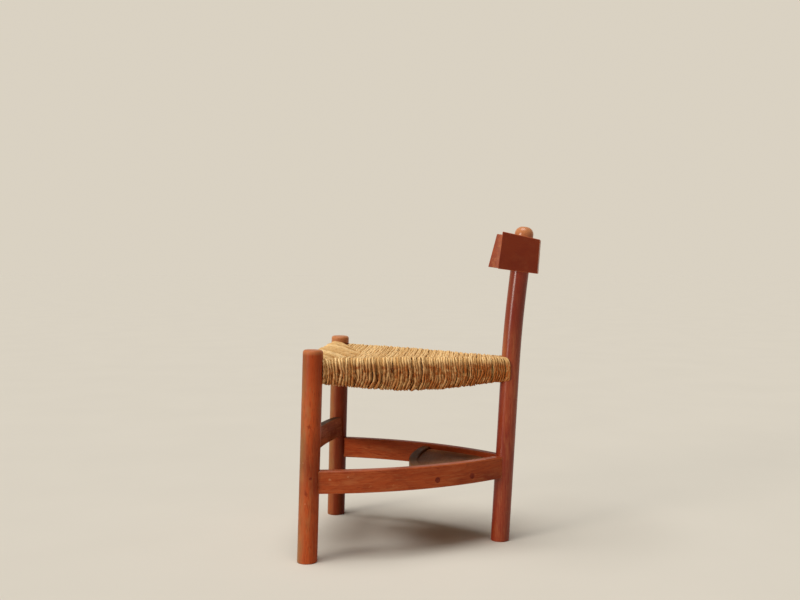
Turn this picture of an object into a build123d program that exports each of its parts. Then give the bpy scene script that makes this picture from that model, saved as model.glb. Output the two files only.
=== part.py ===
from build123d import *
import math
import os

os.makedirs("parts", exist_ok=True)

# Three-legged chair with a rush seat. Millimetres, +Z up, front toward -Y, sitter's left at +X.
# While drawing, y = 0 lies under the front feet; at the end the whole chair is centred on the floor.

# Glue and push fits: space on each side of a mating face, and at the blind end of a hole
fit_gap = 0.15
end_gap = 0.4

# Front legs
leg_diameter = 43.0
leg_height = 450.0
foot_half_spacing = 201.0
top_half_spacing = 193.7
leg_lean = 13.1
leg_top_round = 6.0
foot_chamfer = 1.5

# Back post: a straight lower part, a gentle bend at the knee, and a straight upper part
post_diameter = 42.0
post_foot_y = 409.3
post_lower_angle = 3.15
post_upper_angle = 6.7
post_knee_height = 485.0
post_bend_radius = 2900.0
post_height = 714.0
post_dome_round = 17.0

# Backrest block, square to the upper post and turned a little on it
backrest_width = 210.0
backrest_front_reach = 60.0
backrest_back_reach = 23.5
backrest_height = 75.7
backrest_below_top = 62.6
backrest_top_fall = 5.0
backrest_front_lean = 3.7
backrest_back_lean = 3.3
backrest_hollow = 22.0
backrest_hollow_askew = 9.0
backrest_back_bulge = 13.0
backrest_turn = 4.8
backrest_tilt = 0.8
backrest_ease = 1.6

# Stretcher boards, all bent over one former
stretcher_thickness = 20.0
stretcher_height = 48.5
stretcher_bend_radius = 640.0
side_stretcher_bottom = 146.0
front_stretcher_step = 5.0
front_stretcher_setback = 7.0
stretcher_ease = 2.0
stretcher_tenon_thickness = 10.0
stretcher_tenon_height = 34.0
leg_tenon_past_axis = 6.0
post_tenon_short_of_axis = 7.5

# Pegs through the side stretchers' tenons in the front legs
peg_diameter = 6.0
peg_offset = 4.0
peg_rise = 11.0
peg_inner_reach = 12.0
peg_proud = 0.4

# Corner shelf and its raised lip
shelf_front_y = 202.0
shelf_front_radius = 400.0
shelf_lip_width = 20.0
shelf_top_drop = 11.5
shelf_lip_drop = 5.5
shelf_bottom_rise = 1.0
shelf_lip_round = 3.0

# Shelf screws and the wooden plugs over them
screw_post_distances = (105.0, 192.0)
screw_height_below_top = 31.5
screw_head_diameter = 8.0
screw_head_length = 3.0
screw_shank_diameter = 4.5
screw_depth_in_shelf = 22.0
plug_diameter = 12.0
plug_length = 5.0
plug_proud = 0.3

# Seat rails, boards on edge inside the rush
rail_thickness = 20.0
rail_height = 42.0
rail_round = 4.0
side_rail_front_drop = 45.0
side_rail_back_drop = 57.0
front_rail_drop = 38.5
rail_tenon_thickness = 8.0
rail_tenon_height = 18.0
rail_tenon_shift = 10.0
rail_post_tenon_height = 28.0
rail_post_tenon_short_of_axis = 10.5

# Rush seat
rush_thickness = 7.0
rush_edge_round = 8.0
rush_under_round = 13.0
rush_front_apex_y = 95.0
rush_front_end_inset = 13.0
rush_front_sink = 1.0
rush_least_curve = 0.05
rush_top_rise = 4.0
rush_beside_post = 5.0
rush_packing_wall = 3.0
rush_packing_cover = 8.0
packing_top_round = 6.0
packing_low_round = 8.0

# Seat stations from front (0) to back (1): dip of the top, sag of the underside edge, belly between
seat_stations = (
    (0.006, 0.0, 0.0, 0.0),
    (0.11, 1.5, 4.0, 2.0),
    (0.31, 3.0, 12.5, 5.0),
    (0.49, 3.0, 18.0, 6.0),
    (0.69, 2.0, 15.0, 4.0),
    (0.87, 1.0, 7.0, 1.0),
    (1.0, 0.0, 0.5, 0.0),
)
packing_first_swell = (0.5, 0.5, 0.5)
packing_last_swell = (1.0, 5.0, 1.0)
packing_end_share = 0.84


# Where the legs and the post stand at a given height

leg_radius = leg_diameter / 2
post_radius = post_diameter / 2
far_side = 3 * leg_height

# Heights of the rails' middles and of the backrest's middle, set from the tops of the legs and the post
side_rail_front_middle = leg_height - side_rail_front_drop
side_rail_back_middle = leg_height - side_rail_back_drop
front_rail_middle = leg_height - front_rail_drop
backrest_middle_height = post_height - backrest_below_top


def leg_axis(side, z):
    share = z / leg_height
    x = foot_half_spacing + (top_half_spacing - foot_half_spacing) * share
    return Vector(side * x, leg_lean * share, z)


def leg_rod(side, radius):
    foot = leg_axis(side, -leg_radius)
    top = leg_axis(side, leg_height)
    along = top - foot
    plane = Plane(origin=foot, z_dir=along)
    return plane * Cylinder(radius, along.length, align=(Align.CENTER, Align.CENTER, Align.MIN))


def post_y(z):
    lower = math.tan(math.radians(post_lower_angle))
    upper = math.tan(math.radians(post_upper_angle))
    knee_y = post_foot_y + lower * post_knee_height
    if z <= post_knee_height:
        return post_foot_y + lower * z
    return knee_y + upper * (z - post_knee_height)


def post_axis(z):
    return Vector(0, post_y(z), z)


def post_rod(radius, above=0.0):
    top = post_height + above
    ends = [(post_y(z), z) for z in (-post_radius, post_knee_height, top)]
    path = Plane.YZ * FilletPolyline(*ends, radius=post_bend_radius)
    ring = Plane(origin=path @ 0, z_dir=path % 0) * Circle(radius)
    return sweep(ring, path=path)


def upper_post_plane(z):
    lean = math.radians(post_upper_angle)
    return Plane(origin=post_axis(z), x_dir=(1, 0, 0), z_dir=(0, math.sin(lean), math.cos(lean)))


def floor_cut(shape):
    below = Pos(0, 0, -far_side / 2) * Box(far_side, far_side, far_side)
    standing = shape - below
    foot_edge = standing.edges().group_by(Axis.Z)[0]
    return chamfer(foot_edge, foot_chamfer)


def grown_leg(side):
    return leg_rod(side, leg_radius + fit_gap)


def grown_post():
    return post_rod(post_radius + fit_gap, post_radius)


# Bowed boards in plan: start and end lie on the leg and post axes

def bow(start, end, outward):
    chord = end - start
    middle = (start + end) * 0.5
    normal = Vector(chord.Y, -chord.X, 0).normalized()
    if normal.dot(outward) < 0:
        normal = normal * -1
    reach = math.sqrt(stretcher_bend_radius ** 2 - (chord.length / 2) ** 2)
    centre = middle - normal * reach
    return Vector(centre.X, centre.Y, 0)


def bearing(centre, point):
    return math.degrees(math.atan2(point.Y - centre.Y, point.X - centre.X))


def bow_sweep(centre, start, end):
    first = bearing(centre, start)
    turn = (bearing(centre, end) - first + 180) % 360 - 180
    return first, turn


def bow_tangent(centre, start, end):
    first, turn = bow_sweep(centre, start, end)
    angle = math.radians(first) + math.copysign(math.pi / 2, turn)
    return Vector(math.cos(angle), math.sin(angle), 0)


def bowed_board(centre, start, end, bottom):
    first, turn = bow_sweep(centre, start, end)
    spot = (centre.X, centre.Y)
    half = stretcher_thickness / 2
    outer = CenterArc(spot, stretcher_bend_radius + half, first, turn)
    inner = CenterArc(spot, stretcher_bend_radius - half, first, turn)
    face = make_face([outer, inner, Line(outer @ 0, inner @ 0), Line(outer @ 1, inner @ 1)])
    board = Pos(0, 0, bottom) * extrude(face, stretcher_height, dir=(0, 0, 1))
    return chamfer(board.edges().filter_by(GeomType.CIRCLE), stretcher_ease)


def tongue(point, along, z, first, last, thickness, height, room=0.0, end_room=0.0):
    plane = Plane(origin=(point.X, point.Y, z), x_dir=(along.X, along.Y, 0), z_dir=(0, 0, 1))
    length = last - first + end_room
    middle = (last + first - end_room) / 2
    return plane * Pos(middle, 0, 0) * Box(length, thickness + 2 * room, height + 2 * room)


side_stretcher_top = side_stretcher_bottom + stretcher_height
side_stretcher_middle = side_stretcher_bottom + stretcher_height / 2
front_stretcher_bottom = side_stretcher_top + front_stretcher_step
front_stretcher_middle = front_stretcher_bottom + stretcher_height / 2
tenon_root = leg_radius + stretcher_ease


def stretcher_tongue(point, along, z, first, room=0.0, end_room=0.0):
    return tongue(point, along, z, first, tenon_root, stretcher_tenon_thickness,
                  stretcher_tenon_height, room, end_room)


def side_stretcher_line(side):
    start = leg_axis(side, side_stretcher_middle)
    end = post_axis(side_stretcher_middle)
    centre = bow(start, end, Vector(side, 0, 0))
    return centre, start, end


def side_stretcher_tongues(side, room=0.0, end_room=0.0):
    centre, start, end = side_stretcher_line(side)
    z = side_stretcher_middle
    leg_run = bow_tangent(centre, start, end)
    post_run = bow_tangent(centre, end, start)
    at_leg = stretcher_tongue(start, leg_run, z, -leg_tenon_past_axis, room, end_room)
    at_post = stretcher_tongue(end, post_run, z, post_tenon_short_of_axis, room, end_room)
    return at_leg, at_post


def front_stretcher_line():
    setback = Vector(0, front_stretcher_setback, 0)
    start = leg_axis(1, front_stretcher_middle) + setback
    end = leg_axis(-1, front_stretcher_middle) + setback
    centre = bow(start, end, Vector(0, -1, 0))
    return centre, start, end


def front_stretcher_tongue(side, room=0.0, end_room=0.0):
    centre, start, end = front_stretcher_line()
    here, there = (start, end) if side > 0 else (end, start)
    along = bow_tangent(centre, here, there)
    return stretcher_tongue(here, along, front_stretcher_middle, -leg_tenon_past_axis, room, end_room)


# Seat rails: straight boards on edge, the side ones falling slightly to the back

def rail_board(start, end, room=0.0):
    along = end - start
    plane = Plane(origin=(start + end) * 0.5, x_dir=along, z_dir=Vector(along.Y, -along.X, 0))
    board = plane * Box(along.length, rail_height + 2 * room, rail_thickness + 2 * room)
    long_edges = board.edges().sort_by(SortBy.LENGTH)[-4:]
    return fillet(long_edges, rail_round + room)


def side_rail_line(side):
    return leg_axis(side, side_rail_front_middle), post_axis(side_rail_back_middle)


def side_rail_tongues(side, room=0.0, end_room=0.0):
    start, end = side_rail_line(side)
    along = end - start
    low = side_rail_front_middle - rail_tenon_shift
    root = leg_radius + rail_round
    at_leg = tongue(start, along, low, -leg_tenon_past_axis, root, rail_tenon_thickness,
                    rail_tenon_height, room, end_room)
    at_post = tongue(end, along * -1, side_rail_back_middle, rail_post_tenon_short_of_axis, root,
                     rail_tenon_thickness, rail_post_tenon_height, room, end_room)
    return at_leg, at_post


def front_rail_tongue(side, room=0.0, end_room=0.0):
    here = leg_axis(side, front_rail_middle)
    high = front_rail_middle + rail_tenon_shift
    return tongue(here, Vector(-side, 0, 0), high, -leg_tenon_past_axis, leg_radius + rail_round,
                  rail_tenon_thickness, rail_tenon_height, room, end_room)


def side_rail(side):
    start, end = side_rail_line(side)
    at_leg, at_post = side_rail_tongues(side)
    other_half = Pos(side * (fit_gap - far_side / 2), 0, 0) * Box(far_side, far_side, far_side)
    board = rail_board(start, end) - grown_leg(side) - grown_post() - other_half
    return board + at_leg + at_post


def front_rail():
    left = leg_axis(1, front_rail_middle)
    right = leg_axis(-1, front_rail_middle)
    board = rail_board(left, right) - grown_leg(1) - grown_leg(-1)
    return board + front_rail_tongue(1) + front_rail_tongue(-1)


# Pegs, screws and plugs

def peg_rod(side, diameter, end_room=0.0):
    centre, start, end = side_stretcher_line(side)
    along = bow_tangent(centre, start, end)
    across = Vector(along.Y, -along.X, 0) * side
    inner = start + along * peg_offset - across * (peg_inner_reach + end_room) + Vector(0, 0, peg_rise)
    length = peg_inner_reach + end_room + 2 * leg_radius
    rod = Plane(origin=inner, z_dir=across) * Cylinder(
        diameter / 2, length, align=(Align.CENTER, Align.CENTER, Align.MIN))
    return rod


def stretcher_peg(side):
    return peg_rod(side, peg_diameter) & leg_rod(side, leg_radius + peg_proud)


def screw_plane(side, distance):
    centre, start, end = side_stretcher_line(side)
    first, turn = bow_sweep(centre, end, start)
    angle = math.radians(first) + math.copysign(distance / stretcher_bend_radius, turn)
    outward = Vector(math.cos(angle), math.sin(angle), 0)
    face = centre + outward * (stretcher_bend_radius + stretcher_thickness / 2)
    z = side_stretcher_top - screw_height_below_top
    return Plane(origin=(face.X, face.Y, z), z_dir=outward)


def rod_between(plane, diameter, first, last):
    return plane * Pos(0, 0, (first + last) / 2) * Cylinder(diameter / 2, last - first)


def screw_body(side, distance, room=0.0):
    plane = screw_plane(side, distance)
    head_top = -plug_length - fit_gap
    head_bottom = head_top - screw_head_length
    tip = -stretcher_thickness - screw_depth_in_shelf
    head = rod_between(plane, screw_head_diameter + 2 * room, head_bottom - room, head_top + room)
    shank = rod_between(plane, screw_shank_diameter + 2 * room, tip - room, head_bottom)
    return head + shank


def plug_hole(side, distance):
    plane = screw_plane(side, distance)
    depth = plug_length + fit_gap + screw_head_length + fit_gap
    return rod_between(plane, plug_diameter + 2 * fit_gap, -depth, plug_length)


def plug(side, distance):
    centre, start, end = side_stretcher_line(side)
    plane = screw_plane(side, distance)
    pin = rod_between(plane, plug_diameter, -plug_length, plug_length)
    reach = stretcher_bend_radius + stretcher_thickness / 2 + plug_proud
    skin = Pos(centre.X, centre.Y, side_stretcher_middle) * Cylinder(reach, stretcher_height)
    return pin & skin


# Corner shelf: the space inside both side stretchers, in front of the post

def shelf_block(front_radius, bottom, top):
    height = top - bottom
    front_centre = shelf_front_y + shelf_front_radius
    block = Pos(0, front_centre, bottom + height / 2) * Cylinder(front_radius, height)
    inside = stretcher_bend_radius - stretcher_thickness / 2 - fit_gap
    for side in (1, -1):
        centre, start, end = side_stretcher_line(side)
        block &= Pos(centre.X, centre.Y, bottom + height / 2) * Cylinder(inside, height)
    return block - grown_post()


shelf_bottom = side_stretcher_bottom + shelf_bottom_rise
shelf_top = side_stretcher_top - shelf_top_drop
lip_top = side_stretcher_top - shelf_lip_drop
lip_inner_radius = shelf_front_radius - shelf_lip_width

corner_shelf = shelf_block(lip_inner_radius - fit_gap, shelf_bottom, shelf_top)
lip_stock = shelf_block(shelf_front_radius, shelf_bottom, lip_top)
lip_core = Pos(0, shelf_front_y + shelf_front_radius, lip_top / 2) * Cylinder(lip_inner_radius, lip_top)
shelf_lip = lip_stock - lip_core
lip_front_edges = shelf_lip.edges().filter_by(GeomType.CIRCLE).group_by(Axis.Z)[-1]
shelf_lip = fillet(lip_front_edges, shelf_lip_round)


# Stretchers with their tenons

def side_stretcher(side):
    centre, start, end = side_stretcher_line(side)
    board = bowed_board(centre, start, end, side_stretcher_bottom)
    at_leg, at_post = side_stretcher_tongues(side)
    board = board - grown_leg(side) - grown_post() + at_leg + at_post
    board -= peg_rod(side, peg_diameter + 2 * fit_gap, end_gap)
    for distance in screw_post_distances:
        board -= plug_hole(side, distance)
        board -= screw_body(side, distance, fit_gap)
    return board


def front_stretcher():
    centre, start, end = front_stretcher_line()
    board = bowed_board(centre, start, end, front_stretcher_bottom)
    board = board - grown_leg(1) - grown_leg(-1)
    return board + front_stretcher_tongue(1) + front_stretcher_tongue(-1)


# Legs and post with their mortises

def front_leg(side):
    rod = leg_rod(side, leg_radius)
    top_edge = rod.edges().group_by(Axis.Z)[-1]
    leg = floor_cut(fillet(top_edge, leg_top_round))
    leg -= side_stretcher_tongues(side, fit_gap, end_gap)[0]
    leg -= front_stretcher_tongue(side, fit_gap, end_gap)
    leg -= side_rail_tongues(side, fit_gap, end_gap)[0]
    leg -= front_rail_tongue(side, fit_gap, end_gap)
    leg -= peg_rod(side, peg_diameter + 2 * fit_gap, end_gap)
    return leg


def back_post():
    rod = post_rod(post_radius)
    top_edge = rod.edges().filter_by(GeomType.CIRCLE).sort_by(Axis.Z)[-1]
    post = floor_cut(fillet(top_edge, post_dome_round))
    for side in (1, -1):
        post -= side_stretcher_tongues(side, fit_gap, end_gap)[1]
        post -= side_rail_tongues(side, fit_gap, end_gap)[1]
    return post


# Backrest: drawn in the post's own frame, hollow in front, rounded behind and bored for the post

def backrest_arc(depth, lean, askew=0.0):
    half_width = backrest_width / 2
    radius = (half_width ** 2 + depth ** 2) / (2 * depth)
    return radius, Rot(lean, 0, 0) * Rot(0, askew, 0) * Cylinder(radius, 3 * backrest_height)


def backrest():
    half = backrest_height / 2
    front = 2 * backrest_front_reach
    back = 2 * (backrest_back_reach + backrest_back_bulge)
    top_slope = backrest_top_fall / backrest_front_reach
    profile = Polyline((-front, -half), (back, -half), (back, half - top_slope * back),
                       (-front, half + top_slope * front), close=True)
    block = extrude(Plane.YZ * make_face(profile), backrest_width / 2, both=True)
    hollow_radius, hollow = backrest_arc(backrest_hollow, -backrest_front_lean, -backrest_hollow_askew)
    back_radius, rounded = backrest_arc(backrest_back_bulge, backrest_back_lean)
    block -= Pos(0, backrest_hollow - backrest_front_reach - hollow_radius, 0) * hollow
    block &= Pos(0, backrest_back_reach + backrest_back_bulge - back_radius, 0) * rounded
    eased = fillet(block.edges(), backrest_ease)
    turned = upper_post_plane(backrest_middle_height) * Rot(-backrest_tilt, 0, backrest_turn) * eased
    return turned - grown_post()


# Rush seat: a soft body over the rails, with the packing inside

rail_front = leg_axis(1, side_rail_front_middle)
rail_back = post_axis(side_rail_back_middle)
rail_run = rail_back - rail_front
rail_slant = Vector(rail_run.X, rail_run.Y, 0).length / rail_run.Y
rush_reach = rail_thickness / 2 + rush_thickness


def station_y(share):
    return rail_front.Y + rail_run.Y * share


def rail_x(share):
    return rail_front.X * (1 - share)


def rail_z(share):
    return rail_front.Z + rail_run.Z * share


def soft_section(share, half_width, top, low, dip, belly, top_round, low_round):
    plane = Plane(origin=(0, station_y(share), 0), x_dir=(1, 0, 0), z_dir=(0, -1, 0))
    upper = ThreePointArc((half_width, top), (0, top - dip - rush_least_curve), (-half_width, top))
    lower = ThreePointArc((-half_width, low), (0, low - belly - rush_least_curve), (half_width, low))
    left = Line((-half_width, top), (-half_width, low))
    right = Line((half_width, low), (half_width, top))
    face = make_face([upper, left, lower, right])
    face = fillet(face.vertices().sort_by(Axis.Y)[-2:], top_round)
    face = fillet(face.vertices().sort_by(Axis.Y)[:2], low_round)
    return plane * face


def rush_body():
    sections = []
    for share, dip, sag, belly in seat_stations:
        half_width = max(rail_x(share) + rush_reach * rail_slant, post_radius + rush_beside_post)
        rise = rush_top_rise * math.sin(math.pi * share)
        top = rail_z(share) + rail_height / 2 + rush_thickness + rise
        low = rail_z(share) - rail_height / 2 - rush_thickness - sag
        sections.append(soft_section(share, half_width, top, low, dip, belly,
                                     rush_edge_round, rush_under_round))
    return loft(sections)


def packing_body(room=0.0):
    sections = []
    inset = rail_thickness / 2 + rush_packing_wall - room
    first = (rail_thickness + rush_packing_wall) / rail_run.Y - room / rail_run.Y
    stations = [(first, *packing_first_swell), *seat_stations[1:5], (packing_end_share, *packing_last_swell)]
    for share, dip, sag, belly in stations:
        half_width = rail_x(share) - inset * rail_slant
        top = rail_z(share) + rail_height / 2 + rush_thickness - rush_packing_cover + room
        low = rail_z(share) - rail_height / 2 - rush_thickness - sag + rush_packing_cover - room
        sections.append(soft_section(share, half_width, top, low, dip, belly,
                                     packing_top_round, packing_low_round))
    return loft(sections)


front_axis = leg_axis(1, front_rail_middle)
front_rush_top = front_rail_middle + rail_height / 2 + rush_thickness
front_rush_half = front_axis.X - rush_front_end_inset


def front_roll():
    depth = 2 * rush_reach
    height = rail_height + 2 * rush_thickness
    roll = Pos(0, front_axis.Y, front_rail_middle) * Box(2 * front_rush_half, depth, height)
    return fillet(roll.edges().filter_by(Axis.X), rush_edge_round)


def front_sector():
    apex_share = (rush_front_apex_y - rail_front.Y) / rail_run.Y
    apex_top = rail_z(apex_share) + rail_height / 2 + rush_thickness
    low = front_rail_middle
    edge = front_axis.Y + rush_reach - rush_edge_round
    side_view = Polyline(
        (front_axis.Y, low),
        (rush_front_apex_y, low),
        (rush_front_apex_y, apex_top - rush_front_sink),
        (edge, front_rush_top),
        (front_axis.Y, front_rush_top),
        close=True,
    )
    slab = extrude(Plane.YZ * make_face(side_view), front_rush_half, both=True)
    plan = Polyline(
        (front_rush_half, front_axis.Y),
        (0, rush_front_apex_y),
        (-front_rush_half, front_axis.Y),
        close=True,
    )
    return slab & extrude(make_face(plan), leg_height)


def rush_seat():
    rush = rush_body() + front_roll() + front_sector()
    for side in (1, -1):
        rush -= rail_board(*side_rail_line(side), fit_gap)
        rush -= grown_leg(side)
    rush -= rail_board(leg_axis(1, front_rail_middle), leg_axis(-1, front_rail_middle), fit_gap)
    return rush - grown_post() - packing_body(fit_gap)


shelf_screws = []
shelf_plugs = []
for side in (1, -1):
    for distance in screw_post_distances:
        shelf_screws.append(screw_body(side, distance))
        shelf_plugs.append(plug(side, distance))
        corner_shelf -= screw_body(side, distance, fit_gap)
        shelf_lip -= screw_body(side, distance, fit_gap)

nodes = {
    "front_leg_left": [front_leg(1)],
    "front_leg_right": [front_leg(-1)],
    "back_post": [back_post()],
    "backrest": [backrest()],
    "front_stretcher": [front_stretcher()],
    "left_stretcher": [side_stretcher(1)],
    "right_stretcher": [side_stretcher(-1)],
    "corner_shelf": [corner_shelf],
    "shelf_lip": [shelf_lip],
    "front_seat_rail": [front_rail()],
    "left_seat_rail": [side_rail(1)],
    "right_seat_rail": [side_rail(-1)],
    "rush_seat": [rush_seat()],
    "seat_packing": [packing_body()],
    "stretcher_pegs": [stretcher_peg(1), stretcher_peg(-1)],
    "shelf_screws": shelf_screws,
    "shelf_plugs": shelf_plugs,
}

# Centre the chair on the floor and write one file per node

solids = [piece.solids() for pieces in nodes.values() for piece in pieces]
extent = Compound(children=[solid for group in solids for solid in group]).bounding_box()
centring = Pos(-extent.center().X, -extent.center().Y, 0)

for name, pieces in nodes.items():
    moved = [centring * solid for piece in pieces for solid in piece.solids()]
    shape = moved[0] if len(moved) == 1 else Compound(children=moved)
    export_step(shape, f"parts/{name}.step")
    print(name, len(moved), "solid(s), volume", round(sum(solid.volume for solid in moved) / 1000, 1), "cm3")
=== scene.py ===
import bmesh
import bpy
import math
import random
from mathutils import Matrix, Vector


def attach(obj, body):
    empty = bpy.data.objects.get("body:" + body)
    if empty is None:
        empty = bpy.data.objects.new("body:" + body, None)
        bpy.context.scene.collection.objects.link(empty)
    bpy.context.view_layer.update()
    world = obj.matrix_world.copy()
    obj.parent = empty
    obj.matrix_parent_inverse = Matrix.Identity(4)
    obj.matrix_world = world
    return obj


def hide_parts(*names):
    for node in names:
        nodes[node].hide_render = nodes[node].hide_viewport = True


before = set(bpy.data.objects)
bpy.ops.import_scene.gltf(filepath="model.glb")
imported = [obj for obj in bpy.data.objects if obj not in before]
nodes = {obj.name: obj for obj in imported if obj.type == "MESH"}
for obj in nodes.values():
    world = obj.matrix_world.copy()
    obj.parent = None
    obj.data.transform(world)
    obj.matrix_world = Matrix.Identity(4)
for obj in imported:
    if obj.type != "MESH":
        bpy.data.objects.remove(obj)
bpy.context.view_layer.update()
scene = bpy.context.scene
scene.view_settings.view_transform = "Standard"
print("frame loaded with", len(nodes), "pieces")


# Small helpers for node trees

def put(tree, kind, sockets=None, **settings):
    node = tree.nodes.new("ShaderNode" + kind)
    for name, value in settings.items():
        setattr(node, name, value)
    for key, value in (sockets or {}).items():
        if isinstance(value, bpy.types.NodeSocket):
            tree.links.new(value, node.inputs[key])
        else:
            node.inputs[key].default_value = value
    return node


def calc(tree, operation, first, second=0.0):
    return put(tree, "Math", {0: first, 1: second}, operation=operation).outputs[0]


def times(tree, first, second):
    return calc(tree, "MULTIPLY", first, second)


def vectors(tree, operation, first, second):
    return put(tree, "VectorMath", {0: first, 1: second}, operation=operation).outputs


# A noise made to its plan: a small "drawn" draws it out along the grain, which lies along X
def pattern(tree, where, plan, output="Fac"):
    if "drawn" in plan:
        where = put(tree, "Mapping", {"Vector": where, "Scale": (plan["drawn"], 1, 1)}).outputs[0]
    sockets = {key.title(): value for key, value in plan.items() if key != "drawn"}
    return put(tree, "TexNoise", {"Vector": where, **sockets}).outputs[output]


# A soft step; the ranges in the plans give where it starts and ends, then its values there
def mask(tree, value, low, high, toLow=0.0, toHigh=1.0):
    sockets = {"Value": value, "From Min": low, "From Max": high, "To Min": toLow, "To Max": toHigh}
    return put(tree, "MapRange", sockets, interpolation_type="SMOOTHSTEP").outputs[0]


# Sockets 6 and 7, and output 2, are the ones that a colour mix uses
def blendColour(tree, share, under, over):
    return put(tree, "Mix", {0: share, 6: under, 7: over}, data_type="RGBA").outputs[2]


def newGroup(name, takes, gives):
    tree = bpy.data.node_groups.new(name, "ShaderNodeTree")
    for way, sockets in (("INPUT", takes), ("OUTPUT", gives)):
        for label, kind in sockets.items():
            tree.interface.new_socket(name=label, in_out=way, socket_type="NodeSocket" + kind)
    given = tree.nodes.new("NodeGroupInput").outputs
    return tree, given, tree.nodes.new("NodeGroupOutput").inputs


def useGroup(tree, group, sockets):
    return put(tree, "Group", sockets, node_tree=group).outputs


# Wood figure, with the grain along X of the vector that it is given

grainPlan = {
    "field": {"drawn": 0.08, "scale": 11.0, "roughness": 0.4},      # its level lines are the rings
    "ringEdge": 2.4,                                                # how sharply a ring ends
    "fibre": {"drawn": 0.02, "scale": 950.0, "roughness": 0.6},
    "dashes": {"drawn": 0.11, "scale": 620.0, "detail": 0.0},
    "poreRange": (0.62, 0.74),
}


def woodFigureGroup():
    tree, given, out = newGroup(
        "woodFigure",
        {"Vector": "Vector", "Ring Count": "Float"},
        {"Rings": "Float", "Fibre": "Float", "Pores": "Float"},
    )
    where = given["Vector"]
    field = pattern(tree, where, grainPlan["field"])
    turns = calc(tree, "FRACT", times(tree, field, given["Ring Count"]))
    tree.links.new(calc(tree, "POWER", turns, grainPlan["ringEdge"]), out["Rings"])
    tree.links.new(pattern(tree, where, grainPlan["fibre"]), out["Fibre"])
    dashes = pattern(tree, where, grainPlan["dashes"])
    tree.links.new(mask(tree, dashes, *grainPlan["poreRange"]), out["Pores"])
    return tree


# Stain and varnish over the figure: uneven colour, rubbed patches and hairline scratches

coatPlan = {
    "cloud": {"drawn": 0.4, "scale": 17.0, "detail": 5.0, "roughness": 0.62},
    "cloudRange": (0.42, 0.7),
    "ringShare": 0.34,
    "fibreRange": (0.45, 0.8, 0.0, 0.3),
    "patches": {"drawn": 0.2, "scale": 60.0, "detail": 6.0, "roughness": 0.68},
    "patchRange": (0.5, 0.68),
    "poreShare": 0.5,
    "lines": {"drawn": 0.12, "scale": 75.0, "detail": 3.0},
    "lineLevel": 0.5,                       # a scratch runs where the noise is near this
    "lineRange": (0.0, 0.004, 1.0, 0.0),
    "sparse": {"scale": 21.0, "detail": 1.0},
    "sparseRange": (0.55, 0.66),
    "scratchShare": 0.55,
    "scratchDepth": 0.8,
    "smear": {"scale": 30.0, "detail": 4.0, "roughness": 0.6},
    "smearRange": (0.3, 0.75, 0.27, 0.46),
    "rubbedRoughness": 0.14,
    "fibreHeight": 0.25,
    "waves": {"scale": 55.0},
    "waveHeight": 1.6,
}


def stainCoatGroup():
    tree, given, out = newGroup(
        "stainCoat",
        {
            "Vector": "Vector",
            "Along": "Vector",
            "Rings": "Float",
            "Fibre": "Float",
            "Pores": "Float",
            "Pale": "Color",
            "Middle": "Color",
            "Deep": "Color",
            "Rub": "Float",
        },
        {"Color": "Color", "Roughness": "Float", "Height": "Float"},
    )
    where, along = given["Vector"], given["Along"]
    pale, deep = given["Pale"], given["Deep"]
    cloud = pattern(tree, along, coatPlan["cloud"])
    colour = blendColour(tree, mask(tree, cloud, *coatPlan["cloudRange"]), given["Middle"], deep)
    colour = blendColour(tree, times(tree, given["Rings"], coatPlan["ringShare"]), colour, deep)
    colour = blendColour(tree, mask(tree, given["Fibre"], *coatPlan["fibreRange"]), colour, pale)
    patches = pattern(tree, along, coatPlan["patches"])
    rubbed = times(tree, mask(tree, patches, *coatPlan["patchRange"]), given["Rub"])
    colour = blendColour(tree, rubbed, colour, pale)
    colour = blendColour(tree, times(tree, given["Pores"], coatPlan["poreShare"]), colour, deep)
    lines = calc(tree, "SUBTRACT", pattern(tree, along, coatPlan["lines"]), coatPlan["lineLevel"])
    hair = mask(tree, calc(tree, "ABSOLUTE", lines), *coatPlan["lineRange"])
    sparse = mask(tree, pattern(tree, where, coatPlan["sparse"]), *coatPlan["sparseRange"])
    scratch = times(tree, hair, sparse)
    colour = blendColour(tree, times(tree, scratch, coatPlan["scratchShare"]), colour, pale)
    tree.links.new(colour, out["Color"])
    smear = mask(tree, pattern(tree, where, coatPlan["smear"]), *coatPlan["smearRange"])
    rough = calc(tree, "ADD", smear, times(tree, rubbed, coatPlan["rubbedRoughness"]))
    tree.links.new(rough, out["Roughness"])
    fibreHeight = times(tree, given["Fibre"], coatPlan["fibreHeight"])
    height = calc(tree, "SUBTRACT", fibreHeight, given["Pores"])
    height = calc(tree, "SUBTRACT", height, times(tree, scratch, coatPlan["scratchDepth"]))
    waves = times(tree, pattern(tree, where, coatPlan["waves"]), coatPlan["waveHeight"])
    tree.links.new(calc(tree, "ADD", height, waves), out["Height"])
    return tree


# Arrises rubbed by hands and feet

arrisPlan = {
    "samples": 6,
    "turnRange": (0.98, 0.8),       # of the rounded against the flat normal
    "breaks": {"scale": 120.0, "detail": 4.0, "roughness": 0.65},
    "breakRange": (0.32, 0.62),
}


def rubbedEdgeGroup():
    tree, given, out = newGroup(
        "rubbedEdge",
        {"Vector": "Vector", "Reach": "Float"},
        {"Mask": "Float"},
    )
    bevel = put(tree, "Bevel", {"Radius": given["Reach"]}, samples=arrisPlan["samples"])
    flat = put(tree, "NewGeometry").outputs["Normal"]
    turn = vectors(tree, "DOT_PRODUCT", bevel.outputs["Normal"], flat)["Value"]
    edge = mask(tree, turn, *arrisPlan["turnRange"])
    breaks = pattern(tree, given["Vector"], arrisPlan["breaks"])
    broken = mask(tree, breaks, *arrisPlan["breakRange"])
    tree.links.new(times(tree, edge, broken), out["Mask"])
    return tree


# A board bent over a former: unrolls the bend, so that the grain follows it

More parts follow.
